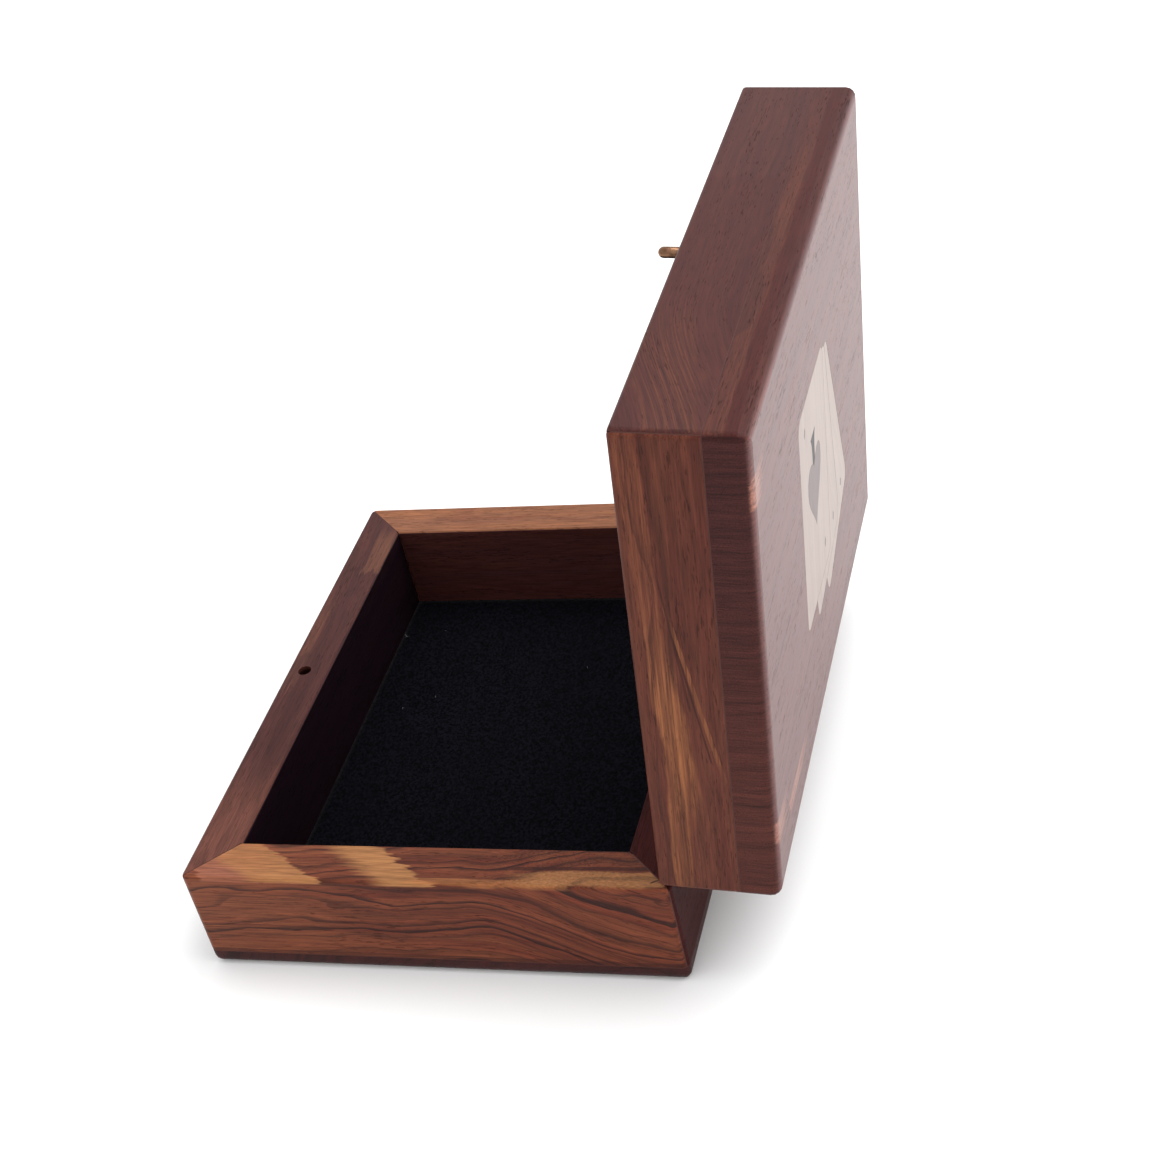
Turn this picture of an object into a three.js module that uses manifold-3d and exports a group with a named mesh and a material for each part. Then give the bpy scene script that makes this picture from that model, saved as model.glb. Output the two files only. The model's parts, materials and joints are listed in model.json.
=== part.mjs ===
// A hinged wooden box for a deck of playing cards. It stands open, its lid leaning back a little past upright.
// Millimetres. X runs along the box, the front faces -Y, the hinges are at +Y, +Z is up.
// The origin is the centre of the underside of the base.
import * as THREE from "three";
import { mergeVertices } from "three/addons/utils/BufferGeometryUtils.js";
import Module from "manifold-3d";

const wasm = await Module();
wasm.setup();

// The case
const boxLength = 112;
const boxDepth = 90;
const wall = 9;
const baseHeight = 22;
const bottomThickness = 3.2;
const liningThickness = 0.5;
const liningClearance = 0.3;
const lidBoardHeight = 13.5;
const topThickness = 6.7;
const glueLine = 0.2;
const closedGap = 0.3;

// Rounding of the wood
const cornerRadius = 1.3;
const bottomEdgeRadius = 1.9;
const topEdgeRadius = 1.9;
const rimEdgeRadius = 0.7;
const rimInnerEase = 0.3;

// The hinges, and how far the lid stands open
const openAngle = 95.4;
const pivotInset = 0.8;
const hingeFromEnd = 28;
const hingeLength = 16;
const leafWidth = 6.5;
const leafThickness = 0.8;
const leafSeat = 0.1;
const barrelRadius = 1.1;
const hingePinRadius = 0.55;
const hingePinClearance = 0.1;
const knuckleGap = 0.3;
const mortiseClearance = 0.3;

// The hinges' screws
const screwFromLeafEnd = 3.5;
const screwHeadRadius = 1.2;
const screwShankRadius = 0.6;
const screwLength = 5;
const screwClearance = 0.15;

// The pin in the lid's rim, and its hole in the base's rim
const catchFromFront = 3.7;
const catchLeftOfMiddle = 1.2;
const catchRadius = 0.95;
const catchStandsProud = 4.5;
const catchDrivenIn = 5;
const catchClearance = 0.1;
const holeClearance = 0.4;
const holeSpareDepth = 1.5;

// The lid's inlay: three cards fanned about one point, with a spade on the front card
const cardWidth = 25.6;
const cardLength = 41.8;
const cardCornerRadius = 2.2;
const cardRightOfMiddle = 6.2;
const cardForwardOfMiddle = 1.1;
const fanAngle = 11.5;
const fanPointLeft = 17.9;
const fanPointForward = 30.1;
const inlayThickness = 1.2;
const inlayGap = 0.15;
const spadeWidth = 13;
const spadeHeight = 14;
const stemTopWidth = 2;
const stemFootWidth = 4.6;
const stemHeight = 4.2;

// Steps of the round forms
const cornerSteps = 3;
const edgeSteps = 4;
const outlineSteps = 6;
const roundSides = 16;

// Heights and places that follow
const boardBottom = bottomThickness + glueLine;
const lidBottom = baseHeight + closedGap;
const lidBoardTop = lidBottom + lidBoardHeight;
const topBottom = lidBoardTop + glueLine;
const lidTop = topBottom + topThickness;
const pivotY = boxDepth / 2 - pivotInset;
const pivotZ = baseHeight + leafSeat + barrelRadius;
const hingeCentres = [hingeFromEnd - boxLength / 2, boxLength / 2 - hingeFromEnd];
const catchX = -catchLeftOfMiddle;
const catchY = catchFromFront - boxDepth / 2;
const inlayBottom = lidTop - inlayThickness;

// How far a cutting tool runs past what it cuts
const past = 5;
const wholePlan = [[-boxLength, boxLength], [-boxDepth, boxDepth]];

const materials = {
  rosewood: new THREE.MeshStandardMaterial({ color: 0x6b4034, roughness: 0.45 }),
  topPanel: new THREE.MeshStandardMaterial({ color: 0x5c3a36, roughness: 0.35 }),
  velvet: new THREE.MeshStandardMaterial({ color: 0x0d0d14, roughness: 1 }),
  brass: new THREE.MeshStandardMaterial({ color: 0xb08d4f, roughness: 0.3, metalness: 1 }),
  paleWood: new THREE.MeshStandardMaterial({ color: 0xddd2c4, roughness: 0.4 }),
  greyWood: new THREE.MeshStandardMaterial({ color: 0x8a8280, roughness: 0.4 }),
  darkWood: new THREE.MeshStandardMaterial({ color: 0x3a3532, roughness: 0.4 }),
};

// A closed geometry as a solid that can be joined and cut.
function solidOf(geometry) {
  const bare = geometry.clone();
  bare.deleteAttribute("normal");
  bare.deleteAttribute("uv");
  const merged = mergeVertices(bare, 1e-5);
  return new wasm.Manifold(
    new wasm.Mesh({
      numProp: 3,
      vertProperties: new Float32Array(merged.attributes.position.array),
      triVerts: new Uint32Array(merged.index.array),
    }),
  );
}

function cut(solid, ...tools) {
  return tools.reduce((rest, tool) => rest.subtract(tool), solid);
}

function meshOf(name, solid, material) {
  const { vertProperties, triVerts } = solid.getMesh();
  const geometry = new THREE.BufferGeometry();
  geometry.setAttribute("position", new THREE.BufferAttribute(new Float32Array(vertProperties), 3));
  geometry.setIndex(new THREE.BufferAttribute(new Uint32Array(triVerts), 1));
  geometry.computeVertexNormals();
  const mesh = new THREE.Mesh(geometry, material);
  mesh.name = name;
  return mesh;
}

// The angles of a quarter arc's steps, from none to a right angle.
function quarterAngles() {
  return Array.from({ length: edgeSteps + 1 }, (_, i) => (i / edgeSteps) * (Math.PI / 2));
}

function roundedRectangle(length, depth, radius) {
  const x = length / 2 - radius;
  const y = depth / 2 - radius;
  const quarter = Math.PI / 2;
  const shape = new THREE.Shape();
  shape.absarc(x, y, radius, 0, quarter);
  shape.absarc(-x, y, radius, quarter, 2 * quarter);
  shape.absarc(-x, -y, radius, 2 * quarter, 3 * quarter);
  shape.absarc(x, -y, radius, 3 * quarter, 4 * quarter);
  return shape;
}

// A shape raised between two heights.
function raised(shape, zLow, zHigh, curveSegments = cornerSteps) {
  const depth = zHigh - zLow;
  const geometry = new THREE.ExtrudeGeometry(shape, { depth, bevelEnabled: false, curveSegments });
  geometry.translate(0, 0, zLow);
  return geometry;
}

function block([xLow, xHigh], [yLow, yHigh], [zLow, zHigh]) {
  const geometry = new THREE.BoxGeometry(xHigh - xLow, yHigh - yLow, zHigh - zLow);
  geometry.translate((xLow + xHigh) / 2, (yLow + yHigh) / 2, (zLow + zHigh) / 2);
  return solidOf(geometry);
}

function uprightCylinder(radius, zLow, zHigh, x, y) {
  const geometry = new THREE.CylinderGeometry(radius, radius, zHigh - zLow, roundSides);
  geometry.rotateX(Math.PI / 2);
  geometry.translate(x, y, (zLow + zHigh) / 2);
  return solidOf(geometry);
}

function cylinderAlongX(radius, xLow, xHigh) {
  const geometry = new THREE.CylinderGeometry(radius, radius, xHigh - xLow, roundSides);
  geometry.rotateZ(-Math.PI / 2);
  geometry.translate((xLow + xHigh) / 2, 0, 0);
  return solidOf(geometry);
}

// A closed body through level rings, from the lowest up. Each ring is convex, and all have as many points.
function loft(rings) {
  const count = rings[0].points.length;
  const positions = rings.flatMap(({ points, z }) => points.flatMap((p) => [p.x, p.y, z]));
  const top = (rings.length - 1) * count;
  const faces = [];
  for (let i = 1; i < count - 1; i += 1) {
    faces.push(0, i + 1, i);
    faces.push(top, top + i, top + i + 1);
  }
  for (let ring = 0; ring < top; ring += count) {
    for (let i = 0; i < count; i += 1) {
      const next = (i + 1) % count;
      faces.push(ring + i, ring + next, ring + count + next);
      faces.push(ring + i, ring + count + next, ring + count + i);
    }
  }
  const geometry = new THREE.BufferGeometry();
  geometry.setAttribute("position", new THREE.Float32BufferAttribute(positions, 3));
  geometry.setIndex(faces);
  return solidOf(geometry);
}

// The outer form of the base or the lid: rounded upright corners, with the lower and the upper edges eased.
function caseForm(zLow, zHigh, lowerEdge, upperEdge) {
  const sharpestCorner = 0.2;
  const ringAt = (inset, z) => {
    const radius = Math.max(cornerRadius - inset, sharpestCorner);
    const outline = roundedRectangle(boxLength - 2 * inset, boxDepth - 2 * inset, radius);
    return { points: outline.getPoints(cornerSteps), z };
  };
  const short = (edge, share) => edge * (1 - share);
  const angles = quarterAngles();
  const lower = angles.map((a) => ringAt(short(lowerEdge, Math.sin(a)), zLow + short(lowerEdge, Math.cos(a))));
  const upper = angles.map((a) => ringAt(short(upperEdge, Math.cos(a)), zHigh - short(upperEdge, Math.sin(a))));
  return loft([...lower, ...upper]);
}

// The tool that slopes the inner edge of a rim at height z. The rim faces up if up is 1, down if it is -1.
function rimEase(z, up) {
  const ringAt = (outset, height) => {
    const length = boxLength - 2 * wall + 2 * outset;
    const depth = boxDepth - 2 * wall + 2 * outset;
    return { points: roundedRectangle(length, depth, rimInnerEase).getPoints(cornerSteps), z: height };
  };
  const deep = ringAt(-rimInnerEase, z - up * 2 * rimInnerEase);
  const wide = ringAt(2 * rimInnerEase, z + up * rimInnerEase);
  return loft(up > 0 ? [deep, wide] : [wide, deep]);
}

// One mitred board of a frame, cut from the case's form. It runs along "x" or "y", on the side 1 or -1.
function frameBoard(along, side, [zLow, zHigh], form) {
  const half = along === "x" ? boxLength / 2 : boxDepth / 2;
  const out = along === "x" ? boxDepth / 2 : boxLength / 2;
  const mitreBack = glueLine * Math.SQRT1_2;
  const outer = half + past - mitreBack;
  const inner = half - wall - mitreBack;
  const plan = new THREE.Shape([
    new THREE.Vector2(-outer, out + past),
    new THREE.Vector2(-inner, out - wall),
    new THREE.Vector2(inner, out - wall),
    new THREE.Vector2(outer, out + past),
  ]);
  const geometry = raised(plan, zLow, zHigh);
  const halfTurn = side > 0 ? 0 : Math.PI;
  geometry.rotateZ(along === "x" ? halfTurn : halfTurn - Math.PI / 2);
  return solidOf(geometry).intersect(form);
}

// A hinge is modelled about its own barrel, which lies along X with both leaves towards -Y.
// The base's leaf has its outer face down, and the lid's leaf is the same plate turned over.
const leafInnerFace = leafThickness - barrelRadius;
const knuckleLength = (hingeLength - 2 * knuckleGap) / 3;
const knuckles = [-1, 0, 1].map((place) => {
  const middle = place * (knuckleLength + knuckleGap);
  return [middle - knuckleLength / 2, middle + knuckleLength / 2];
});
const [firstKnuckle, middleKnuckle, lastKnuckle] = knuckles;
const screwPlaces = [screwFromLeafEnd - hingeLength / 2, hingeLength / 2 - screwFromLeafEnd];
const screwY = -(leafWidth + barrelRadius) / 2;

// A countersunk screw with its head level with the leaf's inner face, or its hole, wider by grow.
function screwGeometry(x, grow = 0) {
  const neck = leafInnerFace - (screwHeadRadius - screwShankRadius);
  const tip = leafInnerFace - screwLength - grow;
  const above = grow > 0 ? leafThickness : 0;
  const profile = [
    new THREE.Vector2(0, tip),
    new THREE.Vector2(screwShankRadius + grow, tip + screwShankRadius),
    new THREE.Vector2(screwShankRadius + grow, neck),
    new THREE.Vector2(screwHeadRadius + grow, leafInnerFace),
    new THREE.Vector2(screwHeadRadius + grow, leafInnerFace + above),
    new THREE.Vector2(0, leafInnerFace + above),
  ];
  const geometry = new THREE.LatheGeometry(profile, roundSides);
  geometry.rotateX(Math.PI / 2);
  geometry.translate(x, screwY, 0);
  return geometry;
}

// A leaf with its own knuckles, cut back round the other leaf's.
function hingeLeaf(own) {
  const half = hingeLength / 2;
  const plate = block([-half, half], [-leafWidth, 0], [-barrelRadius, leafInnerFace]);
  const barrels = own.map(([from, to]) => cylinderAlongX(barrelRadius, from, to));
  const withBarrel = barrels.reduce((leaf, barrel) => leaf.add(barrel), plate);
  const others = knuckles.filter((knuckle) => !own.includes(knuckle));
  const clearances = others.map(([from, to]) =>
    block([from - knuckleGap, to + knuckleGap], [-barrelRadius - knuckleGap, past], [-past, past]),
  );
  const bore = cylinderAlongX(hingePinRadius + hingePinClearance, -half - past, half + past);
  const countersinks = screwPlaces.map((x) => solidOf(screwGeometry(x, screwClearance)));
  return cut(withBarrel, bore, ...clearances, ...countersinks);
}

// The screw holes of both hinges in the base's board or, turned over, in the lid's.
function screwHoles(turnedOver) {
  return hingeCentres.flatMap((centre) =>
    screwPlaces.map((x) => {
      const geometry = screwGeometry(x, screwClearance);
      if (turnedOver) geometry.rotateY(Math.PI);
      geometry.translate(centre, pivotY, pivotZ);
      return solidOf(geometry);
    }),
  );
}

// The mortises in the lid take both leaves and the barrel of each hinge.
function mortises() {
  const half = hingeLength / 2 + mortiseClearance;
  const inner = pivotY - leafWidth - mortiseClearance;
  const ceiling = pivotZ + barrelRadius + leafSeat;
  return hingeCentres.map((centre) =>
    block([centre - half, centre + half], [inner, boxDepth / 2 + past], [lidBottom - past, ceiling]),
  );
}

const cardNames = ["front_card_inlay", "middle_card_inlay", "back_card_inlay"];

// A card of the fan, turned about the fan's point. Place 0 is the front card.
function card(place, grow, zLow, zHigh) {
  const outline = roundedRectangle(cardWidth + 2 * grow, cardLength + 2 * grow, cardCornerRadius + grow);
  const geometry = raised(outline, zLow, zHigh);
  geometry.translate(fanPointLeft, fanPointForward, 0);
  geometry.rotateZ(THREE.MathUtils.degToRad(place * fanAngle));
  geometry.translate(cardRightOfMiddle - fanPointLeft, -cardForwardOfMiddle - fanPointForward, 0);
  return solidOf(geometry);
}

// The spade, point towards the hinges, its lobes lowest at about y = 0. Its curves are shares of its own size.
function spadeShape(grow) {
  const w = spadeWidth / 2 + grow;
  const h = spadeHeight + 2 * grow;
  const shape = new THREE.Shape();
  shape.moveTo(0, h - grow);
  shape.bezierCurveTo(-0.18 * w, 0.78 * h - grow, -w, 0.52 * h - grow, -w, 0.25 * h - grow);
  shape.bezierCurveTo(-w, -0.03 * h - grow, -0.4 * w, -0.06 * h - grow, 0, 0.14 * h - grow);
  shape.bezierCurveTo(0.4 * w, -0.06 * h - grow, w, -0.03 * h - grow, w, 0.25 * h - grow);
  shape.bezierCurveTo(w, 0.52 * h - grow, 0.18 * w, 0.78 * h - grow, 0, h - grow);
  return shape;
}

function stemShape(grow) {
  const top = stemTopWidth / 2 + grow;
  const foot = stemFootWidth / 2 + grow;
  const low = -stemHeight - grow;
  const shape = new THREE.Shape();
  shape.moveTo(-foot, low);
  shape.lineTo(foot, low);
  shape.quadraticCurveTo(top, 0.75 * low, top, 0);
  shape.lineTo(top, stemHeight);
  shape.lineTo(-top, stemHeight);
  shape.lineTo(-top, 0);
  shape.quadraticCurveTo(-top, 0.75 * low, -foot, low);
  return shape;
}

// A motif of the front card, placed so that the spade's body is centred on the card.
function motif(shape, zLow, zHigh) {
  const geometry = raised(shape, zLow, zHigh, outlineSteps);
  geometry.translate(cardRightOfMiddle, -cardForwardOfMiddle - spadeHeight / 2, 0);
  return solidOf(geometry);
}

function catchPin() {
  const tip = lidBottom - catchStandsProud;
  const nose = quarterAngles().map(
    (a) => new THREE.Vector2(catchRadius * Math.sin(a), tip + catchRadius * (1 - Math.cos(a))),
  );
  const top = lidBottom + catchDrivenIn;
  const geometry = new THREE.LatheGeometry(
    [...nose, new THREE.Vector2(catchRadius, top), new THREE.Vector2(0, top)],
    roundSides,
  );
  geometry.rotateX(Math.PI / 2);
  geometry.translate(catchX, catchY, 0);
  return solidOf(geometry);
}

function baseMeshes() {
  const form = caseForm(0, baseHeight, bottomEdgeRadius, rimEdgeRadius);
  const ease = rimEase(baseHeight, 1);
  const board = (along, side) => cut(frameBoard(along, side, [boardBottom, baseHeight + past], form), ease);
  const holeDepth = catchStandsProud + holeSpareDepth;
  const holeRadius = catchRadius + holeClearance;
  const hole = uprightCylinder(holeRadius, baseHeight - holeDepth, baseHeight + past, catchX, catchY);
  const liningX = boxLength / 2 - wall - liningClearance;
  const liningY = boxDepth / 2 - wall - liningClearance;
  const liningZ = [boardBottom, boardBottom + liningThickness];
  const lining = block([-liningX, liningX], [-liningY, liningY], liningZ);
  const panel = form.intersect(block(...wholePlan, [-past, bottomThickness]));
  return [
    meshOf("base_front_board", cut(board("x", -1), hole), materials.rosewood),
    meshOf("base_hinge_board", cut(board("x", 1), ...screwHoles(false)), materials.rosewood),
    meshOf("base_left_end_board", board("y", -1), materials.rosewood),
    meshOf("base_right_end_board", board("y", 1), materials.rosewood),
    meshOf("base_bottom_panel", panel, materials.rosewood),
    meshOf("velvet_lining", lining, materials.velvet),
  ];
}

function inlayMeshes() {
  const inlaid = [inlayBottom, lidTop];
  const tool = [inlayBottom - past, lidTop + past];
  const spadeTool = motif(spadeShape(inlayGap), ...tool);
  const stemTool = motif(stemShape(inlayGap), ...tool);
  const cards = cardNames.map((name, place) => {
    const inFront = cardNames.slice(0, place).map((_, nearer) => card(nearer, inlayGap, ...tool));
    const motifs = place === 0 ? [spadeTool, stemTool] : [];
    return meshOf(name, cut(card(place, 0, ...inlaid), ...inFront, ...motifs), materials.paleWood);
  });
  return [
    ...cards,
    meshOf("spade_inlay", motif(spadeShape(0), ...inlaid), materials.greyWood),
    meshOf("spade_stem_inlay", cut(motif(stemShape(0), ...inlaid), spadeTool), materials.darkWood),
  ];
}

// The lid's wood, inlay and pin, as they are when the box is shut.
function lidMeshes() {
  const form = caseForm(lidBottom, lidTop, rimEdgeRadius, topEdgeRadius);
  const ease = rimEase(lidBottom, -1);
  const board = (along, side) => cut(frameBoard(along, side, [lidBottom - past, lidBoardTop], form), ease);
  const boreRadius = catchRadius + catchClearance;
  const boreTop = lidBottom + catchDrivenIn + catchClearance;
  const bore = uprightCylinder(boreRadius, lidBottom - past, boreTop, catchX, catchY);
  const panel = form.intersect(block(...wholePlan, [topBottom, lidTop + past]));
  const pocket = cardNames.map((_, place) => card(place, inlayGap, inlayBottom - inlayGap, lidTop + past));
  return [
    meshOf("lid_front_board", cut(board("x", -1), bore), materials.rosewood),
    meshOf("lid_hinge_board", cut(board("x", 1), ...mortises(), ...screwHoles(true)), materials.rosewood),
    meshOf("lid_left_end_board", board("y", -1), materials.rosewood),
    meshOf("lid_right_end_board", board("y", 1), materials.rosewood),
    meshOf("lid_top_panel", cut(panel, ...pocket), materials.topPanel),
    ...inlayMeshes(),
    meshOf("catch_pin", catchPin(), materials.brass),
  ];
}

// The leaf and screws of one hinge, about its barrel.
function leafMeshes(owner, side, own) {
  const leaf = new THREE.Group();
  leaf.add(meshOf(`${owner}_leaf_${side}`, hingeLeaf(own), materials.brass));
  screwPlaces.forEach((x, i) => {
    leaf.add(meshOf(`${owner}_screw_${side}_${i + 1}`, solidOf(screwGeometry(x)), materials.brass));
  });
  return leaf;
}

const base = new THREE.Group();
base.add(...baseMeshes());

// The lid is hung on the hinge pins and turned back.
const lid = new THREE.Group();
lid.position.set(0, pivotY, pivotZ);
lid.rotation.x = -THREE.MathUtils.degToRad(openAngle);
const lidWood = new THREE.Group();
lidWood.position.set(0, -pivotY, -pivotZ);
lidWood.add(...lidMeshes());
lid.add(lidWood);

["left", "right"].forEach((side, i) => {
  const baseLeaf = leafMeshes("base", side, [middleKnuckle]);
  baseLeaf.position.set(hingeCentres[i], pivotY, pivotZ);
  const pin = meshOf(
    `hinge_pin_${side}`,
    cylinderAlongX(hingePinRadius, -hingeLength / 2, hingeLength / 2),
    materials.brass,
  );
  baseLeaf.add(pin);
  base.add(baseLeaf);
  const lidLeaf = leafMeshes("lid", side, [firstKnuckle, lastKnuckle]);
  lidLeaf.rotation.y = Math.PI;
  lidLeaf.position.x = hingeCentres[i];
  lid.add(lidLeaf);
});

const box = new THREE.Group();
box.add(base, lid);

export default box;
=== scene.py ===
# %% [markdown]
# # A small rosewood box for playing cards
# The box stands open, its lid leaning back a little past upright. Every piece of wood, the hinges and the
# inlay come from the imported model, at their real size. This lesson gives them their finish, and adds what
# is too fine for the model: the glue in the joints, the velvet's pile, the slots of the screws. Lengths are
# in metres, as Blender wants them, so a length in millimetres is written with the factor MM.

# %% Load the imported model
import json
import math
import random

import bmesh
import bpy
from mathutils import Matrix, Quaternion, Vector, noise as rough_ground


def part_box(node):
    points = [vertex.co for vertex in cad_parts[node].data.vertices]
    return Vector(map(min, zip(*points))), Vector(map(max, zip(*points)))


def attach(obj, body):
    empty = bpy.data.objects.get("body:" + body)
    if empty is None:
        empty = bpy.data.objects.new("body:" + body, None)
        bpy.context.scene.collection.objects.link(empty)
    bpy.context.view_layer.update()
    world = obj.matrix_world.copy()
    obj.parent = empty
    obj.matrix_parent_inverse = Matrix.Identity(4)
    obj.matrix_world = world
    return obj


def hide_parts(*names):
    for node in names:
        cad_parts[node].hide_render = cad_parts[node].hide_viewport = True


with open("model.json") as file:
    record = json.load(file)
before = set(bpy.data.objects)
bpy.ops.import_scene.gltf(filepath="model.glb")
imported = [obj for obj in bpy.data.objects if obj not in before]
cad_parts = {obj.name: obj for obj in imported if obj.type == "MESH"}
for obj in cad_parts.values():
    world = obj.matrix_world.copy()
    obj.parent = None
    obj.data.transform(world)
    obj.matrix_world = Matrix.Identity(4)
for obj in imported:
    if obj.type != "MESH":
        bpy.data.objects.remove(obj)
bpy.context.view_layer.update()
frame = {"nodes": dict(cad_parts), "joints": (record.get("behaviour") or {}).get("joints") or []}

nodes = frame["nodes"]
print("pieces from the model:", len(nodes))


# %% [markdown]
# ## Where the lid is
# The model is packed with the lid open. Its wood is easier to think about as it was when the boards were
# cut, with the lid shut. The hinge is a joint of the model, so its place and its angle are read from there,
# and two matrices turn the lid from shut to open and back.

# %% The hinge, and the lid's turn about it
MM = 0.001
hinge = frame["joints"][0]
pivot = Vector(hinge["pos_m"])
open_angle = math.radians(max(hinge["range_deg"]))
opened = Matrix.Translation(pivot) @ Matrix.Rotation(-open_angle, 4, "X") @ Matrix.Translation(-pivot)
shut = opened.inverted()


def shut_box(name):
    """Lowest and highest corner of a piece of the lid, as it lies when the box is shut."""
    corners = [shut @ vertex.co for vertex in nodes[name].data.vertices]
    low = Vector([min(corner[i] for corner in corners) for i in range(3)])
    high = Vector([max(corner[i] for corner in corners) for i in range(3)])
    return low, high


print("the lid opens by", round(math.degrees(open_angle), 1), "degrees")

# %% [markdown]
# ## The camera
# The photograph was taken from the right-hand end of the box, from above, with the camera held a little
# askew. The place, the direction and the lens were found by fitting the box's own edges to the photograph,
# so the camera comes first: everything after it is judged through it.

# %% Camera
IMAGE_SIDE = 1171
FOCAL_PIXELS = 2115.65
SENSOR = 36.0
CAMERA_PLACE = (292.72, 137.14, 264.86)
AZIMUTH = math.radians(111.593)
ELEVATION = math.radians(35.212)
ROLL = math.radians(-13.893)


def add_object(name, data):
    thing = bpy.data.objects.new(name, data)
    bpy.context.scene.collection.objects.link(thing)
    return thing


def aim(thing, ahead, roll=0.0):
    """Turns a camera or a lamp to look ahead, then rolls it about that line."""
    thing.rotation_mode = "QUATERNION"
    thing.rotation_quaternion = ahead.to_track_quat("-Z", "Y") @ Quaternion((0, 0, 1), roll)


lens = bpy.data.cameras.new("camera")
lens.sensor_width = SENSOR
lens.lens = FOCAL_PIXELS / IMAGE_SIDE * SENSOR
lens.clip_start = 0.01
camera = add_object("camera", lens)
camera.location = Vector(CAMERA_PLACE) * MM
aim(camera, Vector((
    -math.sin(AZIMUTH) * math.cos(ELEVATION),
    math.cos(AZIMUTH) * math.cos(ELEVATION),
    -math.sin(ELEVATION),
)), ROLL)
bpy.context.scene.camera = camera
bpy.context.scene.view_settings.view_transform = "Standard"
print("lens", round(lens.lens, 2), "mm on a sensor of", SENSOR, "mm")

# %% [markdown]
# ## Small helpers for shader nodes
# A material is a tree of nodes. A few helpers keep the lines short: they add a node and fill its inputs, do
# sums, turn a range of values into a smooth step, mix two colours, and scatter noise.

# %% Node helpers
def feed(tree, socket, value):
    """Links a socket to an input, or sets the input to a plain value."""
    if isinstance(value, bpy.types.NodeSocket):
        tree.links.new(value, socket)
    else:
        socket.default_value = value


def fill(tree, node, values):
    for name, value in values.items():
        feed(tree, node.inputs[name], value)


def add_node(tree, kind, inputs=None, **settings):
    node = tree.nodes.new(kind)
    for name, value in settings.items():
        setattr(node, name, value)
    fill(tree, node, inputs or {})
    return node


print("node helpers ready")

# %% Sums, steps and vectors
def maths(tree, operation, first, second=0.0):
    return add_node(tree, "ShaderNodeMath", {0: first, 1: second}, operation=operation).outputs[0]


def plus(tree, first, second):
    return maths(tree, "ADD", first, second)


def minus(tree, first, second):
    return maths(tree, "SUBTRACT", first, second)


def times(tree, first, second):
    return maths(tree, "MULTIPLY", first, second)


def over(tree, first, second):
    return maths(tree, "DIVIDE", first, second)


def step(tree, value, low, high):
    """0 below low and 1 above high, with a smooth slope between. It falls where low is the larger."""
    start, end = (1.0, 0.0) if low > high else (0.0, 1.0)
    return add_node(tree, "ShaderNodeMapRange", {
        "Value": value, "From Min": min(low, high), "From Max": max(low, high),
        "To Min": start, "To Max": end}, interpolation_type="SMOOTHSTEP").outputs["Result"]


def spread(tree, value, low, high):
    """A noise's middle range, a quarter to three quarters, drawn out to run from low to high."""
    return add_node(tree, "ShaderNodeMapRange", {
        "Value": value, "From Min": 0.25, "From Max": 0.75, "To Min": low, "To Max": high}).outputs["Result"]


def split(tree, vector):
    return add_node(tree, "ShaderNodeSeparateXYZ", {0: vector}).outputs


def join(tree, x, y, z):
    return add_node(tree, "ShaderNodeCombineXYZ", {"X": x, "Y": y, "Z": z}).outputs[0]


def stretched(tree, vector, scale):
    """A vector with each axis scaled by itself."""
    return add_node(tree, "ShaderNodeVectorMath", {0: vector, 1: scale}, operation="MULTIPLY").outputs[0]


def rotated(tree, vector, axis, angle, centre=(0.0, 0.0, 0.0)):
    return add_node(tree, "ShaderNodeVectorRotate", {
        "Vector": vector, "Center": centre, "Angle": angle}, rotation_type=f"{axis}_AXIS").outputs[0]


print("sums ready")

# %% Colours, noise and bumps
def paint(red, green, blue):
    """A colour as the eye reads it off a print, 0 to 255, turned into the linear values that shaders use."""
    def linear(level):
        share = level / 255
        return share / 12.92 if share <= 0.04045 else ((share + 0.055) / 1.055) ** 2.4
    return (linear(red), linear(green), linear(blue), 1.0)


def mix_colours(tree, share, first, second, blend="MIX"):
    inputs = {0: share, 6: first, 7: second}
    return add_node(tree, "ShaderNodeMix", inputs, data_type="RGBA", blend_type=blend).outputs[2]


def tinted(tree, colour, tint):
    """A colour multiplied by another, or by a level of grey."""
    if isinstance(tint, bpy.types.NodeSocketFloat):
        tint = add_node(tree, "ShaderNodeCombineColor", {0: tint, 1: tint, 2: tint}).outputs[0]
    return mix_colours(tree, 1.0, colour, tint, "MULTIPLY")


def object_place(tree):
    return add_node(tree, "ShaderNodeTexCoord").outputs["Object"]


def noise(tree, vector, scale, shift=None, detail=2.0, roughness=0.5):
    """Noise, each axis scaled by itself. A shift moves it to another part of the pattern."""
    place = stretched(tree, vector, scale)
    if shift is not None:
        apart = join(tree, shift, shift, shift)
        place = add_node(tree, "ShaderNodeVectorMath", {0: place, 1: apart}, operation="ADD").outputs[0]
    return add_node(tree, "ShaderNodeTexNoise", {
        "Vector": place, "Scale": 1.0, "Detail": detail, "Roughness": roughness}).outputs["Fac"]


def speckle(tree, scale, detail=2.0):
    """Noise over an object's own coordinates, as fine in each direction."""
    return noise(tree, object_place(tree), (scale, scale, scale), detail=detail)


def bumped(tree, height, strength, distance):
    """The normal of a surface with a bump. The distance is in metres."""
    return add_node(tree, "ShaderNodeBump", {
        "Strength": strength, "Distance": distance, "Height": height}).outputs[0]


def start_material(name):
    material = bpy.data.materials.new(name)
    material.use_nodes = True
    return material, material.node_tree, material.node_tree.nodes["Principled BSDF"]


print("a middle grey, linear:", round(paint(128, 128, 128)[0], 3))

# %% [markdown]
# ## Groups that several materials share
# An effect that more than one finish needs is a node group with named inputs and outputs. It is built once
# and placed in each material with that material's own values, as a function is.

# %% Helpers that start a group and place it
FLOAT = "NodeSocketFloat"
VECTOR = "NodeSocketVector"


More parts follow.
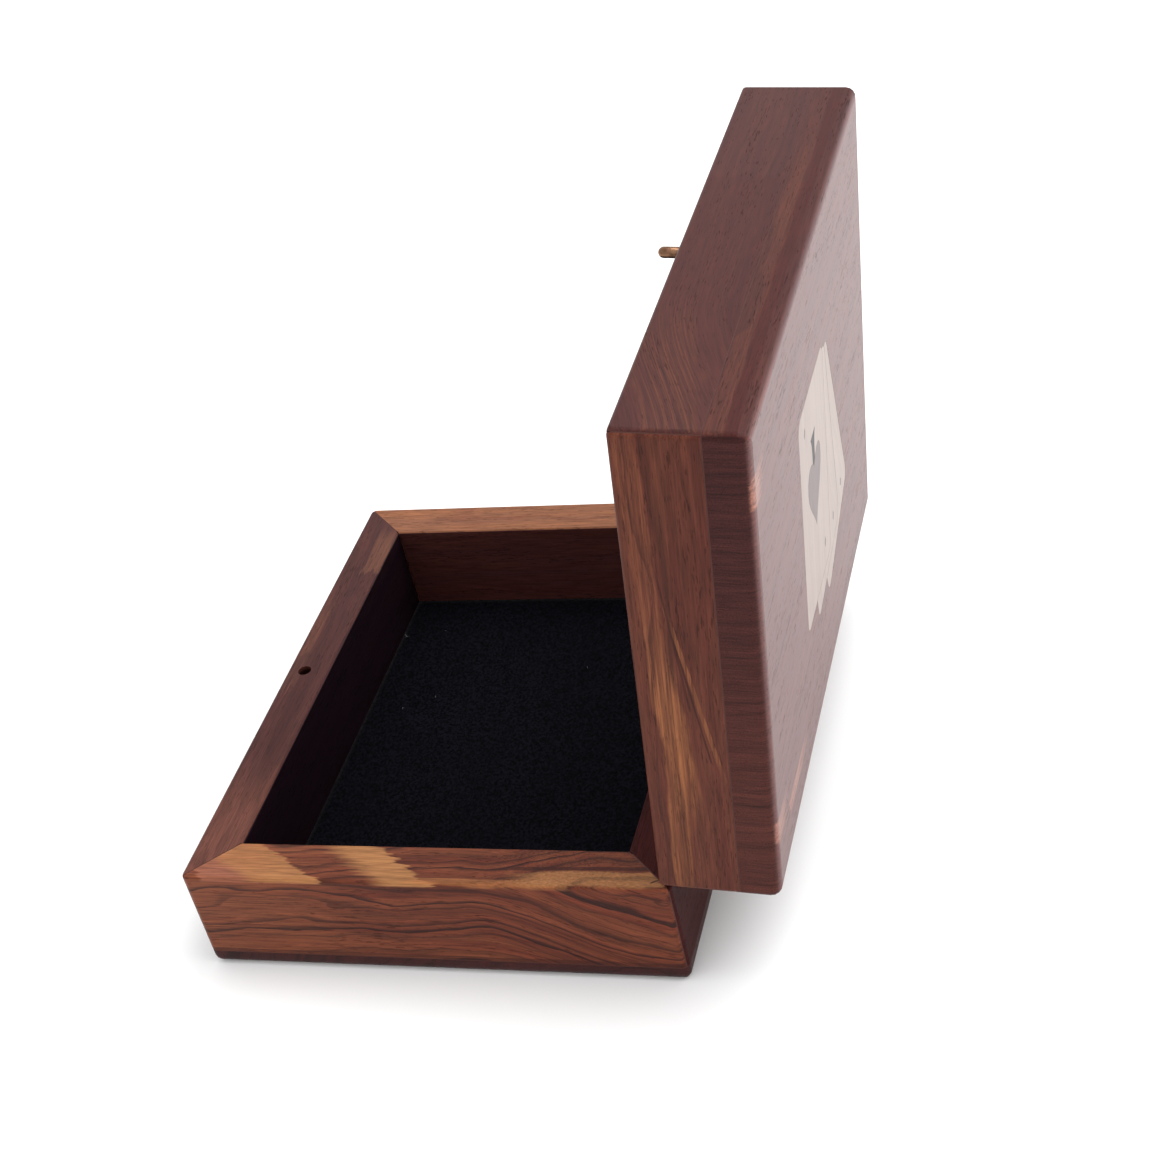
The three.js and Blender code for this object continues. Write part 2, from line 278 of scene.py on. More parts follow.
def start_group(name, numbers, outputs, kind=FLOAT):
    """An empty group with a Vector input, an input for each number, and outputs of one kind."""
    group = bpy.data.node_groups.new(name, "ShaderNodeTree")
    group.interface.new_socket("Vector", in_out="INPUT", socket_type=VECTOR)
    for label, value in numbers.items():
        group.interface.new_socket(label, in_out="INPUT", socket_type=FLOAT).default_value = value
    for label in outputs:
        group.interface.new_socket(label, in_out="OUTPUT", socket_type=kind)
    entry = group.nodes.new("NodeGroupInput").outputs
    leave = group.nodes.new("NodeGroupOutput").inputs
    return group, entry, leave


def place_group(tree, group, inputs):
    node = tree.nodes.new("ShaderNodeGroup")
    node.node_tree = group
    fill(tree, node, inputs)
    return node.outputs


print("group helpers ready")

# %% [markdown]
# ### The run of the grain
# Wood grain bends round knots. A sweep shifts the pattern across the board, little by little, over a length
# of it. Everything that follows the grain, from the rings to the finest fibre, is drawn in the shifted
# place, so it all bends together. Middle and Length say where along the board the bend is, Across and Deep
# how far it goes.

# %% Group: run of the grain
def build_grain_run():
    numbers = {"Middle": 0.0, "Length": 30.0, "Across": 0.0, "Deep": 0.0}
    tree, given, out = start_group("Run of the grain", numbers, ["Vector"], VECTOR)
    along, across, deep = split(tree, given["Vector"])
    bend = step(tree, over(tree, minus(tree, along, given["Middle"]), given["Length"]), -0.5, 0.5)
    across = minus(tree, across, times(tree, bend, given["Across"]))
    deep = minus(tree, deep, times(tree, bend, given["Deep"]))
    feed(tree, out["Vector"], join(tree, along, across, deep))
    return tree


grain_run = build_grain_run()
print("group:", grain_run.name)

# %% [markdown]
# ### Growth rings
# A tree adds a ring a year, and a board is a flat cut through the rings. So the pattern is worked out in
# the solid: the distance from the tree's heart, bent by a slow noise, is cut into rings, and each ring ends
# in a dark line. A face along the grain then shows long lines, and an end shows arcs, with no seam between
# them. Heart Across and Heart Deep say where the heart is in the board's own cross-section.

# %% Group: growth rings
def build_growth_rings():
    tree, given, out = start_group("Growth rings", {
        "Ring Width": 2.0, "Waviness": 1.0, "Heart Across": 30.0, "Heart Deep": -40.0, "Seed": 0.0,
    }, ["Late Wood", "Band"])
    _, across, deep = split(tree, given["Vector"])
    slow = noise(tree, given["Vector"], (0.03, 0.07, 0.07), given["Seed"])
    quick = noise(tree, given["Vector"], (0.12, 0.35, 0.35), given["Seed"])
    bend = times(tree, minus(tree, slow, 0.5), 9.0)
    ripple = times(tree, minus(tree, quick, 0.5), 1.6)
    wander = times(tree, plus(tree, bend, ripple), given["Waviness"])
    across = minus(tree, across, given["Heart Across"])
    deep = minus(tree, deep, given["Heart Deep"])
    squares = plus(tree, times(tree, across, across), times(tree, deep, deep))
    radius = plus(tree, maths(tree, "SQRT", squares), wander)
    years = over(tree, radius, given["Ring Width"])
    good_years = add_node(tree, "ShaderNodeTexNoise", {"W": years, "Scale": 0.8, "Detail": 1.0},
                          noise_dimensions="1D").outputs["Fac"]
    uneven = plus(tree, years, good_years)
    part = maths(tree, "FRACT", uneven)
    shape = times(tree, step(tree, part, 0.5, 0.9), step(tree, part, 1.0, 0.94))
    strength = add_node(tree, "ShaderNodeTexWhiteNoise", {"W": maths(tree, "FLOOR", uneven)},
                        noise_dimensions="1D").outputs["Value"]
    line = times(tree, shape, plus(tree, strength, 0.25))
    feed(tree, out["Late Wood"], maths(tree, "MINIMUM", line, 1.0))
    feed(tree, out["Band"], step(tree, good_years, 0.3, 0.7))
    return tree


growth_rings = build_growth_rings()
print("group:", growth_rings.name)

# %% [markdown]
# ### Fibre, pores and rays
# Rosewood is coarse: its vessels are cut open along the surface and show as short dark dashes, and between
# them runs a fine fibre. Both are noise, squeezed across the grain and drawn out along it. On a cut end the
# fibres show as dots, and the rays, which run through the thickness, show as fine lines.

# %% Group: fibre, pores and rays
def build_wood_fibre():
    tree, given, out = start_group("Wood fibre", {"Pore Share": 0.34, "Seed": 0.0}, [
        "Fibre", "Pores", "Streaks", "Threads", "Rays"])
    place, seed = given["Vector"], given["Seed"]
    fine = noise(tree, place, (0.16, 3.4, 3.4), seed, 3.0, 0.6)
    dashes = noise(tree, place, (0.45, 4.6, 4.6), seed, 1.0)
    crowd = noise(tree, place, (0.05, 0.5, 0.5), seed, 1.0)
    streaks = noise(tree, place, (0.018, 0.42, 0.42), seed, 3.0, 0.6)
    threads = noise(tree, place, (0.03, 3.4, 3.4), seed)
    rays = noise(tree, place, (0.5, 4.4, 0.14), seed, 3.0, 0.6)
    limit = minus(tree, 0.8, times(tree, crowd, given["Pore Share"]))
    feed(tree, out["Fibre"], fine)
    feed(tree, out["Pores"], step(tree, minus(tree, dashes, limit), 0.0, 0.07))
    feed(tree, out["Streaks"], step(tree, streaks, 0.3, 0.7))
    feed(tree, out["Threads"], step(tree, threads, 0.42, 0.62))
    feed(tree, out["Rays"], rays)
    return tree


wood_fibre = build_wood_fibre()
print("group:", wood_fibre.name)

# %% [markdown]
# ### Sapwood
# The outer wood of the tree is golden, and the maker let some of it show. Each patch is placed one by one:
# it has a middle, a half length along the grain and a half width across it. One end is sharp and ragged,
# where the dark heartwood starts, and the other fades. A lean slants the ends, as where a board is cut at an
# angle to the tree, and a tilt turns the whole patch off the grain. Tip and Fade say over how many
# millimetres the two ends go out.

# %% Group: sapwood patch
def build_sapwood_patch():
    tree, given, out = start_group("Sapwood patch", {
        "Along": 0.0, "Across": 0.0, "Half Length": 8.0, "Half Width": 3.0, "Lean": 0.0, "Tilt": 0.0,
        "Tip": 0.9, "Fade": 4.0, "Ragged": 1.5, "Strength": 1.0,
    }, ["Mask"])
    u, v, _ = split(tree, given["Vector"])
    torn = noise(tree, given["Vector"], (0.12, 1.3, 1.3), given["Along"], 3.0, 0.65)
    soft = noise(tree, given["Vector"], (0.1, 0.25, 0.25), given["Along"])
    u = minus(tree, u, given["Along"])
    v = minus(tree, v, given["Across"])
    v = minus(tree, v, times(tree, u, given["Tilt"]))
    u = minus(tree, u, times(tree, v, given["Lean"]))
    rag = times(tree, minus(tree, torn, 0.5), 4.0)
    u = plus(tree, u, times(tree, rag, given["Ragged"]))
    v = plus(tree, v, times(tree, minus(tree, soft, 0.5), given["Half Width"]))
    tip = over(tree, minus(tree, given["Half Length"], u), given["Tip"])
    tail = over(tree, plus(tree, given["Half Length"], u), given["Fade"])
    share = over(tree, maths(tree, "ABSOLUTE", v), given["Half Width"])
    ends = times(tree, step(tree, tip, 0.0, 1.0), step(tree, tail, 0.0, 1.0))
    mask = times(tree, ends, step(tree, share, 1.0, 0.7))
    feed(tree, out["Mask"], times(tree, mask, given["Strength"]))
    return tree


sapwood_patch = build_sapwood_patch()
print("group:", sapwood_patch.name)

# %% [markdown]
# ### Worn and lit edges
# Sanding and hands wear a wooden edge smooth and a shade paler, and the same paleness is a painted
# highlight, such as a rounded edge catches. The Bevel node gives the normal that a rounded edge would have,
# and where it turns away from the true normal there is an edge. A noise breaks the mask up.

# %% Group: worn and lit edges
def build_worn_and_lit_edges():
    tree, given, out = start_group("Worn and lit edges", {"Width": 0.6 * MM}, ["Mask"])
    rounded = add_node(tree, "ShaderNodeBevel", {"Radius": given["Width"]}, samples=4).outputs[0]
    plain = add_node(tree, "ShaderNodeNewGeometry").outputs["True Normal"]
    facing = add_node(tree, "ShaderNodeVectorMath", {0: rounded, 1: plain}, operation="DOT_PRODUCT")
    patchy = noise(tree, given["Vector"], (0.25, 0.25, 0.25), detail=3.0)
    edge = step(tree, facing.outputs["Value"], 0.995, 0.86)
    feed(tree, out["Mask"], times(tree, edge, step(tree, patchy, 0.25, 0.6)))
    return tree


worn_and_lit_edges = build_worn_and_lit_edges()
print("group:", worn_and_lit_edges.name)

# %% [markdown]
# ## The rosewood
# All boards are one kind of wood, but each has its own cut and its own colour, so one function makes a
# material for each board. It reads the board's place as it was cut: the lid is turned back to shut, and a
# board that runs along Y is turned to lie along X. Then heart colour, streaks, growth lines, sapwood and
# pores are laid over each other, and the same masks drive the roughness and the height of the surface. Edges
# are made paler, for wear and as a painted highlight, and the inside of the box is darkened as painted
# shade.
# The polish is a thin satin coat, which gives the pale haze where the surface is seen at a low angle; on the
# lid's top that haze is also painted into the colour, as a paler and bluer tint.

# %% Coordinates along the grain, in millimetres
def grain_coordinates(tree, on_lid, runs_along):
    place = object_place(tree)
    if on_lid:
        place = rotated(tree, place, "X", open_angle, pivot)
    if runs_along == "y":
        place = rotated(tree, place, "Z", -math.pi / 2)
    return stretched(tree, place, (1 / MM, 1 / MM, 1 / MM))


def swapped(tree, vector):
    """The same place, its second and third coordinates swapped, for a pattern on an upright face."""
    along, across, deep = split(tree, vector)
    return join(tree, along, deep, across)


print("millimetres in a metre:", round(1 / MM))

# %% [markdown]
# ### The layers of the wood
# Four small functions lay the layers: the heartwood with its growth lines, the marks over it, the dark
# ends, and painted shade inside the box. A mark is a patch of another tone, such as golden sapwood or a dark
# streak. It lies on a level face or on an upright one, and each board has its own list of them.

# %% Heartwood, and the marks over it
def heartwood(tree, rings, grain, heart, dark, streak, line_strength, streak_strength):
    colour = mix_colours(tree, times(tree, grain["Streaks"], streak_strength), heart, streak)
    colour = mix_colours(tree, times(tree, rings["Band"], 0.4 * line_strength), colour, dark)
    return mix_colours(tree, times(tree, rings["Late Wood"], line_strength), colour, dark)


def marks_over(tree, colour, place, rings, grain, marks, flat_from):
    """Level marks start at the height flat_from, and sunk ones end there. Also gives where marks lie."""
    _, _, height = split(tree, place)
    level = step(tree, height, flat_from - 0.5, flat_from)
    limits = {"level": level, "sunk": minus(tree, 1.0, level), "upright": 1.0}
    upright_place = swapped(tree, place)
    covered = 0.0
    for tone, face, threads, patch in marks:
        lies_on = upright_place if face == "upright" else place
        mask = place_group(tree, sapwood_patch, {"Vector": lies_on, **patch})["Mask"]
        mask = times(tree, mask, limits[face])
        mask = times(tree, mask, plus(tree, times(tree, grain["Threads"], threads), 1.0 - threads))
        lines = times(tree, rings["Late Wood"], 0.3 + 0.6 * threads)
        colour = mix_colours(tree, mask, colour, mix_colours(tree, lines, tone, colour))
        covered = maths(tree, "MAXIMUM", covered, mask)
    return colour, covered


print("heartwood and marks ready")

# %% Dark ends, and painted shade inside
FRONT_TO_HINGES = (-35.0, 35.0)
INSIDE_SHADE_EDGE = (0.12, 0.02)
INNER_HALF = Vector((-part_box("base_left_end_board")[1].x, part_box("base_hinge_board")[0].y)) / MM
INSIDE_HEIGHTS = (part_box("base_bottom_panel")[1].z / MM, shut_box("lid_top_panel")[0].z / MM)


def dark_ends(tree, colour, place, rings, grain, end_colours):
    """End grain is darker. Its colour goes from the first, at the front, to the second, at the hinges."""
    facing = split(tree, add_node(tree, "ShaderNodeTexCoord").outputs["Normal"])[0]
    end = step(tree, maths(tree, "ABSOLUTE", facing), 0.6, 0.85)
    _, across, _ = split(tree, place)
    end_colour = mix_colours(tree, step(tree, across, *FRONT_TO_HINGES), *end_colours)
    level = spread(tree, grain["Rays"], 0.62, 1.44)
    level = minus(tree, level, times(tree, rings["Band"], 0.22))
    level = minus(tree, level, times(tree, rings["Late Wood"], 0.2))
    return mix_colours(tree, end, colour, tinted(tree, end_colour, level))


def painted_inside_shade(tree, colour, place, runs_along, inside_shade):
    """Painted shade: the inside of the box, where little light falls, is darkened by a tint."""
    along, across, height = split(tree, place)
    half = INNER_HALF if runs_along == "x" else INNER_HALF.yx
    low, high = INSIDE_HEIGHTS
    far, near = INSIDE_SHADE_EDGE
    inside = times(tree, step(tree, maths(tree, "ABSOLUTE", along), half.x + far, half.x + near),
                   step(tree, maths(tree, "ABSOLUTE", across), half.y + far, half.y + near))
    inside = times(tree, inside, step(tree, height, low - far, low - near))
    inside = times(tree, inside, step(tree, height, high + far, high + near))
    return mix_colours(tree, inside, colour, tinted(tree, colour, inside_shade))


print("inside of the case, half sizes in mm:", tuple(round(value, 1) for value in INNER_HALF))

# %% One function for every board
# The pores' dark colour, also used as painted shade inside the catch hole.
PORE_AND_HOLE_SHADE = paint(34, 16, 13)
# A tint that darkens the inside of the box as painted shade.
INSIDE_SHADE = (0.17, 0.25, 0.5, 1.0)
# A tint that makes the lid's top paler and bluer: a painted reflection, the milky haze of its polish.
PAINTED_HAZE = (2.1, 2.5, 2.7, 1.0)
COAT_AND_HAZE_FADE = 0.9
# Edges are made paler for wear, and also as a painted highlight.
WORN_AND_LIT = (1.3, 1.25, 1.2, 1.0)
COAT_ROUGHNESS = 0.28


def rosewood(name, heart, dark, streak, on_lid=False, runs_along="x", rings=(2.2, 1.0),
             heart_at=(30.0, -40.0), bend=None, line_strength=0.75, streak_strength=0.5, marks=(),
             flat_from=21.6, end_colours=None, coat_and_haze_from=None, inside_shade=INSIDE_SHADE, seed=0.0, shine=0.1,
             coat=0.04):
    material, tree, surface = start_material(name)
    place = grain_coordinates(tree, on_lid, runs_along)
    run = place
    if bend is not None:
        middle, length, across, deep = bend
        run = place_group(tree, grain_run, {
            "Vector": place, "Middle": middle, "Length": length, "Across": across, "Deep": deep})["Vector"]
    years = place_group(tree, growth_rings, {
        "Vector": run, "Ring Width": rings[0], "Waviness": rings[1], "Heart Across": heart_at[0],
        "Heart Deep": heart_at[1], "Seed": seed})
    grain = place_group(tree, wood_fibre, {"Vector": run, "Seed": seed})
    edges = place_group(tree, worn_and_lit_edges, {"Vector": place})

    colour = heartwood(tree, years, grain, heart, dark, streak, line_strength, streak_strength)
    pores = grain["Pores"]
    if marks:
        colour, covered = marks_over(tree, colour, place, years, grain, marks, flat_from)
        pores = times(tree, pores, minus(tree, 1.0, times(tree, covered, 0.75)))
    # Painted reflection: the lid's top face is made paler and bluer for its haze, and only it gets the coat.
    if coat_and_haze_from is not None:
        _, _, height = split(tree, place)
        coat_and_haze = step(tree, height, coat_and_haze_from - COAT_AND_HAZE_FADE, coat_and_haze_from)
        colour = mix_colours(tree, coat_and_haze, colour, tinted(tree, colour, PAINTED_HAZE))
        coat = times(tree, coat_and_haze, coat)
    if end_colours is not None:
        colour = dark_ends(tree, colour, place, years, grain, end_colours)
    colour = tinted(tree, colour, spread(tree, grain["Fibre"], 0.62, 1.36))
    colour = mix_colours(tree, times(tree, pores, 0.5), colour, PORE_AND_HOLE_SHADE)
    # Edges made paler: wear, and a painted highlight.
    colour = mix_colours(tree, times(tree, edges["Mask"], 0.5), colour, tinted(tree, colour, WORN_AND_LIT))
    # Painted shade: the inside of the box is darkened.
    colour = painted_inside_shade(tree, colour, place, runs_along, inside_shade)

    rough = plus(tree, spread(tree, grain["Fibre"], 0.36, 0.5), times(tree, pores, 0.25))
    height = minus(tree, times(tree, grain["Fibre"], 0.35), pores)
    height = minus(tree, height, times(tree, years["Late Wood"], 0.2))
    fill(tree, surface, {
        "Base Color": colour, "Roughness": rough, "Normal": bumped(tree, height, 0.25, 0.05 * MM),
        "Specular IOR Level": shine, "Coat Weight": coat, "Coat Roughness": COAT_ROUGHNESS})
    return material


print("rosewood's pores, linear:", [round(value, 3) for value in PORE_AND_HOLE_SHADE[:3]])

# %% [markdown]
# ### One material for each board
# The colours and the marks are read off the photograph, board by board. The near end of the base has the
# strongest figure: wavy dark lines that dive towards the hinges, and golden sapwood on its rim. On the
# lid's front the grain runs up from the rim towards the near end, with fine golden threads. A board's own
# coordinates are used: along the grain, across it, and up. On an upright face a mark's Across is the
# height.

# %% Colours
BROWN = paint(98, 43, 29)
BROWN_DARK = paint(44, 20, 16)
WARM = paint(126, 72, 46)
LID_BROWN = paint(79, 36, 28)
LID_WARM = paint(112, 64, 44)
PURPLE = paint(65, 32, 31)
PURPLE_DARK = paint(46, 24, 23)
PURPLE_WARM = paint(82, 43, 35)
SHADED = paint(55, 23, 24)
TAN = paint(123, 79, 57)
GOLD = paint(146, 92, 56)
SAPWOOD = paint(155, 106, 66)
PINK = paint(136, 84, 66)
STREAK = paint(46, 17, 15)
RED_STREAK = paint(60, 20, 18)
END_GRAINS = (paint(60, 28, 27), paint(75, 36, 30))
# A lighter tint of painted shade, for the inside of the far end.
THIN_INSIDE_SHADE = (0.25, 0.2, 0.37, 1.0)
print("main brown, linear:", [round(value, 3) for value in BROWN[:3]])


# %% Marks of the base's boards
def mark(tone, face, along, across, half_length, half_width, threads=0.0, **more):
    """A patch of a tone. Threads is the share of it that breaks up into fine lines along the grain."""
    patch = {"Along": along, "Across": across, "Half Length": half_length, "Half Width": half_width, **more}
    return tone, face, threads, patch


near_rim_marks = [
    mark(PINK, "level", -40.0, -51.5, 6.0, 8.0, Lean=-1.0, Fade=1.0, Ragged=1.0),
    mark(SAPWOOD, "level", -33.0, -51.8, 8.2, 8.0, Lean=-1.75, Fade=5.0, Ragged=1.9),
    mark(SAPWOOD, "level", -9.9, -51.5, 6.4, 8.0, Lean=-1.4, Fade=6.0, Ragged=2.0),
    mark(GOLD, "level", 12.0, -55.3, 16.0, 0.8, Fade=6.0, Ragged=2.0, Strength=0.7),
    mark(SAPWOOD, "level", 29.0, -54.0, 15.0, 2.0, Tilt=0.03, Fade=9.0, Ragged=1.4, Strength=0.75),
    mark(STREAK, "level", 26.0, -51.6, 17.0, 0.5, Tilt=0.03, Fade=8.0, Ragged=1.0, Strength=0.7),
    mark(STREAK, "level", 43.2, -53.4, 2.2, 0.25, Tilt=0.55, Fade=0.5, Ragged=0.3, Strength=0.9),
    mark(WARM, "upright", -36.0, 12.0, 28.0, 16.0, 0.6, Tip=22.0, Fade=1.0, Ragged=4.0, Strength=0.6),
    mark(STREAK, "upright", 0.0, 3.8, 50.0, 0.6, 0.2, Fade=1.0, Ragged=1.0, Strength=0.6),
]
front_rim_marks = [
    # Painted shade: the inside of the catch hole is darkened with the pores' colour.
    mark(PORE_AND_HOLE_SHADE, "sunk", -1.2, -41.3, 1.5, 2.2, Fade=0.1, Ragged=0.0),
    mark(TAN, "level", -42.0, -38.0, 9.0, 2.4, Fade=8.0, Ragged=1.6, Strength=0.35),
    mark(STREAK, "level", 8.0, -40.0, 30.0, 2.2, 0.3, Tilt=0.05, Fade=30.0, Ragged=6.0, Strength=0.45),
    mark(TAN, "level", -14.0, -43.2, 18.0, 1.4, 0.4, Fade=16.0, Ragged=6.0, Strength=0.25),
    mark(PINK, "level", 40.0, -40.5, 20.0, 8.0, Fade=24.0, Ragged=2.0, Strength=0.3),
]
print("marks on the base:", len(near_rim_marks + front_rim_marks))

# %% Marks of the lid's boards
lid_end_marks = [
    mark(LID_WARM, "upright", -20.0, 25.6, 32.0, 1.8, 0.6, Tilt=0.04, Fade=14.0, Ragged=2.0, Strength=0.9),
    mark(LID_WARM, "upright", 16.0, 28.2, 28.0, 4.2, 0.6, Tilt=0.04, Fade=24.0, Ragged=4.0, Strength=0.2),
    mark(GOLD, "upright", 9.0, 27.6, 24.0, 2.4, 0.5, Tilt=0.09, Tip=20.0, Fade=24.0, Ragged=3.0,
         Strength=0.68),
    mark(GOLD, "upright", 28.0, 26.9, 20.0, 1.9, 0.6, Tilt=-0.01, Fade=20.0, Ragged=3.0, Strength=0.45),
    mark(GOLD, "upright", 2.0, 31.4, 18.0, 0.4, 0.6, Tilt=0.2, Tip=6.0, Fade=9.0, Ragged=2.0, Strength=0.5),
    mark(STREAK, "upright", 3.0, 30.9, 14.0, 0.18, Tilt=0.17, Fade=5.0, Ragged=1.0, Strength=0.7),
    mark(STREAK, "upright", -8.0, 28.9, 14.0, 0.2, Tilt=0.12, Fade=4.0, Ragged=1.0, Strength=0.6),
]
lid_front_marks = [
    mark(RED_STREAK, "upright", 22.0, 29.0, 44.0, 12.0, 0.2, Tip=34.0, Fade=2.0, Ragged=2.0, Strength=0.3),
    mark(GOLD, "upright", 36.0, 27.0, 24.0, 5.5, 0.95, Tilt=0.22, Fade=30.0, Ragged=3.0, Strength=0.13),
    mark(STREAK, "upright", 55.7, 29.0, 0.7, 8.0, Lean=-0.06, Fade=0.3, Ragged=0.1, Strength=0.6),
]
top_marks = [
    mark(PINK, "level", 52.5, -34.5, 5.0, 3.2, 0.4, Lean=0.5, Fade=5.0, Ragged=2.8, Strength=0.6),
    mark(PINK, "level", 52.0, 31.0, 7.0, 3.0, 0.5, Fade=8.0, Ragged=3.2, Strength=0.5),
    mark(PINK, "level", 34.0, 35.5, 11.0, 1.8, 0.6, Fade=14.0, Ragged=3.6, Strength=0.5),
    mark(RED_STREAK, "upright", 0.0, 39.7, 62.0, 1.2, 0.3, Fade=4.0, Ragged=1.0, Strength=0.75),
    mark(LID_WARM, "upright", 10.0, 37.6, 50.0, 1.6, 0.5, Fade=20.0, Ragged=1.0, Strength=0.2),
]
print("marks on the lid:", len(lid_end_marks + lid_front_marks + top_marks))

# %% Materials of the boards
board_materials = {
    "base_right_end_board": rosewood(
        "near_end_rosewood", BROWN, BROWN_DARK, WARM, runs_along="y", rings=(1.35, 0.8),
        bend=(27.0, 38.0, 0.0, -13.0), heart_at=(-115.0, 62.0), line_strength=0.95, marks=near_rim_marks,
        flat_from=21.4, seed=3.0),
    "base_front_board": rosewood(
        "front_rosewood", PURPLE, PURPLE_DARK, PURPLE_WARM, rings=(3.0, 1.6), line_strength=0.35,
        marks=front_rim_marks, seed=11.0),
    "base_left_end_board": rosewood(
        "far_end_rosewood", TAN, BROWN, GOLD, runs_along="y", rings=(2.6, 1.0), line_strength=0.3,
        inside_shade=THIN_INSIDE_SHADE, seed=17.0),
    "base_hinge_board": rosewood(
        "hinge_side_rosewood", SHADED, PURPLE_DARK, LID_BROWN, rings=(2.4, 1.0), line_strength=0.5,
        streak_strength=0.25, seed=23.0, shine=0.02, coat=0.0),
    "base_bottom_panel": rosewood(
        "bottom_rosewood", SHADED, PORE_AND_HOLE_SHADE, LID_BROWN, streak_strength=0.3, seed=31.0),
    "lid_front_board": rosewood(
        "lid_front_rosewood", PURPLE, PURPLE_DARK, PURPLE_WARM, on_lid=True, rings=(1.5, 0.4),
        heart_at=(-47.0, 120.0), bend=(42.0, 46.0, 0.0, 13.0), line_strength=0.3, marks=lid_front_marks,
        seed=41.0),
    "lid_right_end_board": rosewood(
        "lid_near_end_rosewood", LID_BROWN, BROWN_DARK, LID_WARM, on_lid=True, runs_along="y",
        rings=(2.4, 0.7), heart_at=(-30.0, 80.0), line_strength=0.45, streak_strength=0.35,
        marks=lid_end_marks, seed=47.0),
    "lid_left_end_board": rosewood(
        "lid_far_end_rosewood", LID_BROWN, BROWN_DARK, LID_WARM, on_lid=True, runs_along="y", seed=53.0),
    "lid_hinge_board": rosewood(
        "lid_hinge_side_rosewood", PURPLE, BROWN_DARK, LID_BROWN, on_lid=True, rings=(2.8, 1.0), seed=59.0),
    "lid_top_panel": rosewood(
        "lid_top_rosewood", PURPLE, PURPLE_DARK, PURPLE_WARM, on_lid=True, rings=(1.9, 0.3),
        heart_at=(-200.0, 30.0), line_strength=0.4, marks=top_marks, flat_from=41.6,
        end_colours=END_GRAINS, coat_and_haze_from=42.6, seed=67.0, coat=0.34),
}
print("boards with a material of their own:", len(board_materials))

# %% [markdown]
# ## Soft shading of the model's pieces
# The model's rounded edges are made of narrow flats. A modifier welds the triangles, shades them as one
# smooth surface and keeps only real edges sharp, and a second one lets the large flat faces set the
# normals, so that no shadow creeps over them. The meshes themselves stay as they were packed.

# %% Modifiers for the pieces of the model
CREASE = math.radians(38)
WELD = 0.002 * MM


def build_soft_shading():
    group = bpy.data.node_groups.new("Soft shading", "GeometryNodeTree")
    for side in ("INPUT", "OUTPUT"):
        group.interface.new_socket("Geometry", in_out=side, socket_type="NodeSocketGeometry")
    entry = group.nodes.new("NodeGroupInput").outputs[0]
    welded = add_node(group, "GeometryNodeMergeByDistance", {
        "Geometry": entry, "Distance": WELD}).outputs[0]
    bare = add_node(group, "GeometryNodeRemoveAttribute", {
        "Geometry": welded, "Name": "custom_normal"}).outputs[0]
    smooth = add_node(group, "GeometryNodeSetShadeSmooth", {
        "Geometry": bare, "Shade Smooth": True}).outputs[0]
    angle = add_node(group, "GeometryNodeInputMeshEdgeAngle").outputs["Unsigned Angle"]
    gentle = add_node(group, "FunctionNodeCompare", {0: angle, 1: CREASE}, operation="LESS_THAN").outputs[0]
    creased = add_node(group, "GeometryNodeSetShadeSmooth", {
        "Geometry": smooth, "Shade Smooth": gentle}, domain="EDGE").outputs[0]
    feed(group, group.nodes.new("NodeGroupOutput").inputs[0], creased)
    return group


def dress(name, material):
    for slot in nodes[name].material_slots:
        slot.link = "OBJECT"
        slot.material = material


soft_shading = build_soft_shading()
for piece in nodes.values():
    piece.modifiers.new("Soft shading", "NODES").node_group = soft_shading
    piece.modifiers.new("Flat faces lead", "WEIGHTED_NORMAL").keep_sharp = True
for name, material in board_materials.items():
    dress(name, material)
print("pieces shaded softly:", len(nodes))

# %% [markdown]
# ## Glue in the joints
# The model leaves a gap of a fifth of a millimetre at each glued joint. On the real box glue and wood dust
# fill it, and the joint is a thin dark line that stops just short of the surface. Towards the inside it
# stops sooner, where the squeezed-out glue was scraped off. The glue of each half is one piece: a thin
# plate in each mitre, and a thin frame between the boards and the panel.

# %% Helpers for new pieces
def drawn_mesh(name, draw):
    """A mesh of what draw puts into an empty bmesh."""
    drawing = bmesh.new()
    draw(drawing)
    bmesh.ops.recalc_face_normals(drawing, faces=drawing.faces)
    mesh = bpy.data.meshes.new(name)
    drawing.to_mesh(mesh)
    drawing.free()
    return mesh


def add_piece(name, mesh, body, material):
    """Makes a piece that rides on a body. A mesh for the lid is drawn shut, and is turned open here."""
    if body == "lid":
        mesh.transform(opened)
    mesh.materials.clear()
    mesh.materials.append(material)
    piece = add_object(name, mesh)
    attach(piece, body)
    return piece


def draw_piece(name, draw, body, material):
    return add_piece(name, drawn_mesh(name, draw), body, material)


def skin(drawing, loops, closed_round=False):
    """Joins loops of points, each to the next, and caps the first and last, or joins them too."""
    rows = [[drawing.verts.new(point) for point in loop] for loop in loops]
    count = len(rows[0])
    pairs = list(zip(rows, rows[1:])) + ([(rows[-1], rows[0])] if closed_round else [])
    for low, high in pairs:
        for i in range(count):
            after = (i + 1) % count
            drawing.faces.new((low[i], low[after], high[after], high[i]))
    if not closed_round:
        drawing.faces.new(rows[0])
        drawing.faces.new(rows[-1])


def build_mottled(name, first, second, scale, roughness, detail=3.0, shine=0.5):
    """A plain matter whose colour wanders between two."""
    material, tree, surface = start_material(name)
    colour = mix_colours(tree, speckle(tree, scale, detail), first, second)
    fill(tree, surface, {"Base Color": colour, "Roughness": roughness, "Specular IOR Level": shine})
    return material


print("helpers for new pieces ready")

# %% The glue's shape
RECESS = 0.02 * MM
INSIDE_RECESS = 0.4 * MM
GLUE_THICKNESS = 0.19 * MM
CORNER = 1.3 * MM
INNER_CORNER = 0.1 * MM
EASE = 0.72 * MM


